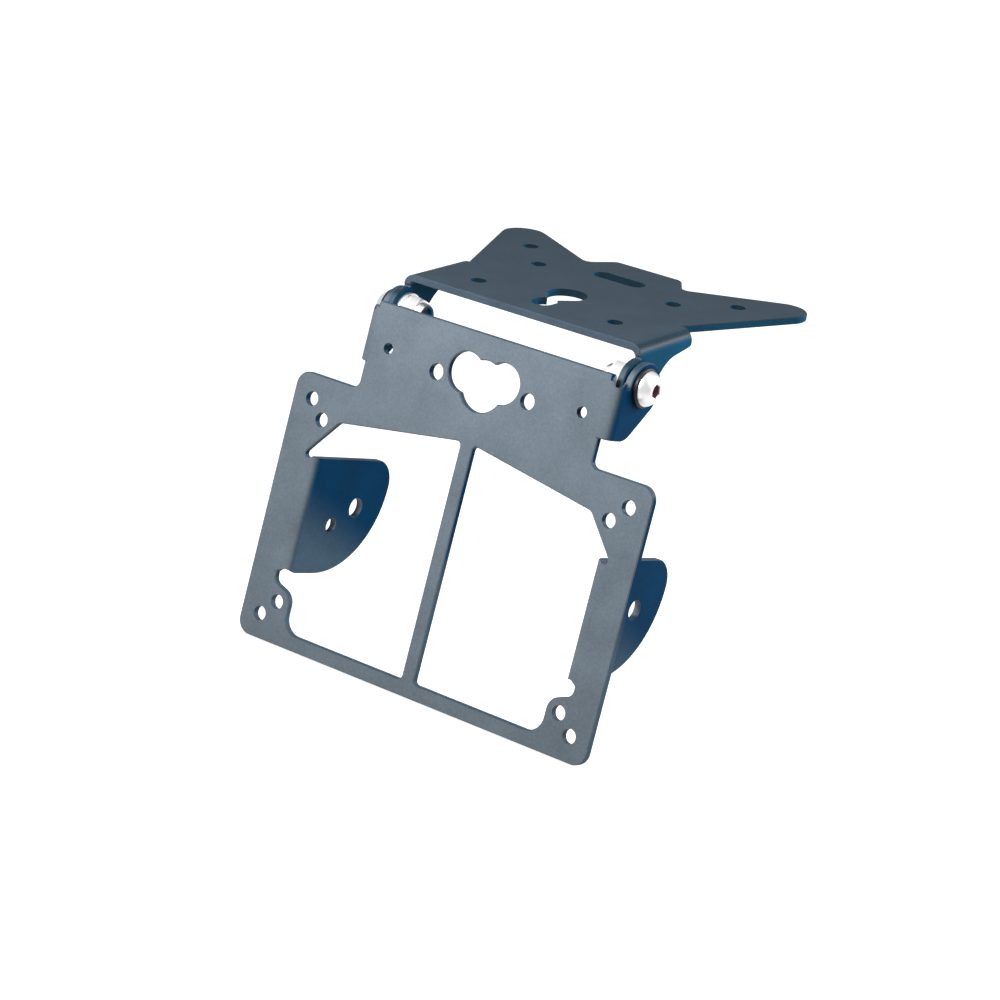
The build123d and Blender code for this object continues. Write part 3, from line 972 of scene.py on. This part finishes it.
@dataclass
class Studio:
    """Pale floor, plain soft light and a white background."""

    floor_half: float = 3.0
    floor_cells: int = 2
    floor_drop: float = 0.3 * MM
    floor_glow: float = 0.90
    floor_tone: Colour = (0.52, 0.50, 0.46)
    fill: Colour = (0.22, 0.26, 0.32)
    lights: tuple[SoftLight, ...] = (
        SoftLight("front_softbox", (-0.03, -0.29, 0.20), (0.0, -0.05, -0.02), (0.14, 0.12), 1.8),
        SoftLight("top_softbox", (0.3, 0.2, 0.9), (0.0, -0.02, -0.05), (0.9, 0.9), 1.6),
        SoftLight("fold_strip", (0.42, 0.48, 0.17), (0.06, -0.02, -0.01), (0.28, 0.28), 5.0),
        SoftLight("near_softbox", (0.155, -0.02, 0.045), (0.065, -0.04, -0.03), (0.05, 0.05), 0.045),
    )

    def shown_white(self, tree: Tree) -> Socket:
        """Mask of the rays that see the background and the floor's glow.

        Args:
            tree: The tree to add the mask to.

        Returns:
            A socket that is 1 for camera, glossy and transmission rays.
        """
        rays = add_node(tree, "ShaderNodeLightPath", -900, 300).outputs
        seen = add_math(tree, "MAXIMUM", -700, 300, rays["Is Camera Ray"], rays["Is Glossy Ray"])
        return add_math(tree, "MAXIMUM", -500, 300, seen, rays["Is Transmission Ray"])

    def build_world(self) -> None:
        """White background, with a dim fill on the object."""
        world = bpy.data.worlds.new("studio")
        bpy.context.scene.world = world
        world.use_nodes = True
        tree = world.node_tree
        tree.nodes.clear()
        shade = add_node(tree, "ShaderNodeBackground", 0, 0)
        out = add_node(tree, "ShaderNodeOutputWorld", 250, 0)
        colour = add_mix(tree, -250, 0, self.shown_white(tree), self.fill, WHITE)
        tree.links.new(colour, shade.inputs["Color"])
        tree.links.new(shade.outputs[0], out.inputs["Surface"])

    def build_floor(self, height: float) -> None:
        """Pale floor, lit by a glow of its own, that keeps a faint shadow.

        Args:
            height: Height of the floor.
        """
        shell = bmesh.new()
        cells = self.floor_cells
        bmesh.ops.create_grid(shell, x_segments=cells, y_segments=cells, size=self.floor_half)
        bmesh.ops.translate(shell, verts=shell.verts, vec=(0.0, 0.0, height))
        mesh = bpy.data.meshes.new("floor")
        shell.to_mesh(mesh)
        shell.free()
        floor = bpy.data.objects.new("floor", mesh)
        bpy.context.scene.collection.objects.link(floor)
        made = bpy.data.materials.new("studio_floor")
        made.use_nodes = True
        tree = made.node_tree
        tree.nodes.clear()
        matt = add_node(tree, "ShaderNodeBsdfDiffuse", -200, -100)
        matt.inputs["Color"].default_value = rgba(self.floor_tone)
        glow = add_node(tree, "ShaderNodeEmission", -200, 100)
        strength = add_math(tree, "MULTIPLY", -300, 250, self.shown_white(tree), self.floor_glow)
        tree.links.new(strength, glow.inputs["Strength"])
        total = add_node(tree, "ShaderNodeAddShader", 50, 0)
        out = add_node(tree, "ShaderNodeOutputMaterial", 250, 0)
        tree.links.new(glow.outputs[0], total.inputs[0])
        tree.links.new(matt.outputs[0], total.inputs[1])
        tree.links.new(total.outputs[0], out.inputs["Surface"])
        mesh.materials.append(made)
        floor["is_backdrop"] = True

    def build(self, lowest: float) -> None:
        """Builds the studio.

        Args:
            lowest: Height of the object's lowest point.
        """
        self.build_world()
        self.build_floor(lowest - self.floor_drop)
        for light in self.lights:
            light.build()
        bpy.context.scene.view_settings.view_transform = "Standard"


@dataclass(frozen=True)
class PhotoCamera:
    """Camera at the photograph's viewing angle, with angles in degrees and the lens in millimetres."""

    azimuth: float = 34.285
    elevation: float = 19.966
    roll: float = 6.396
    target: Point = (-0.01115, -0.02034, -0.08693)
    distance: float = 1.23
    lens: float = 109.73
    sensor: float = 36.0
    nearest: float = 0.01
    farthest: float = 20.0

    def build(self) -> None:
        """Adds the camera and makes it the scene's."""
        turn, rise = math.radians(self.azimuth), math.radians(self.elevation)
        back = Vector((math.sin(turn) * math.cos(rise), -math.cos(turn) * math.cos(rise), math.sin(rise)))
        right = (-back).cross(Vector((0.0, 0.0, 1.0))).normalized()
        up = right.cross(-back)
        lean = math.radians(self.roll)
        across = right * math.cos(lean) + up * math.sin(lean)
        above = up * math.cos(lean) - right * math.sin(lean)
        lens = bpy.data.cameras.new("photo_camera")
        lens.lens = self.lens
        lens.sensor_width = self.sensor
        lens.clip_start, lens.clip_end = self.nearest, self.farthest
        camera = bpy.data.objects.new("photo_camera", lens)
        bpy.context.scene.collection.objects.link(camera)
        facing = Matrix((across, above, back)).transposed().to_4x4()
        camera.matrix_world = Matrix.Translation(Vector(self.target) + back * self.distance) @ facing
        bpy.context.scene.camera = camera


def main() -> None:
    """Builds the dressed tail tidy, its studio and its camera."""
    logging.basicConfig(level=logging.INFO, format="%(name)s: %(message)s")
    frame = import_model()
    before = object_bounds()
    PhotoCamera().build()
    Brackets().build(frame["nodes"])
    for side in Side:
        PivotHardware(side).build(frame["nodes"])
    Studio().build(before[0].z)


if __name__ == "__main__":
    main()
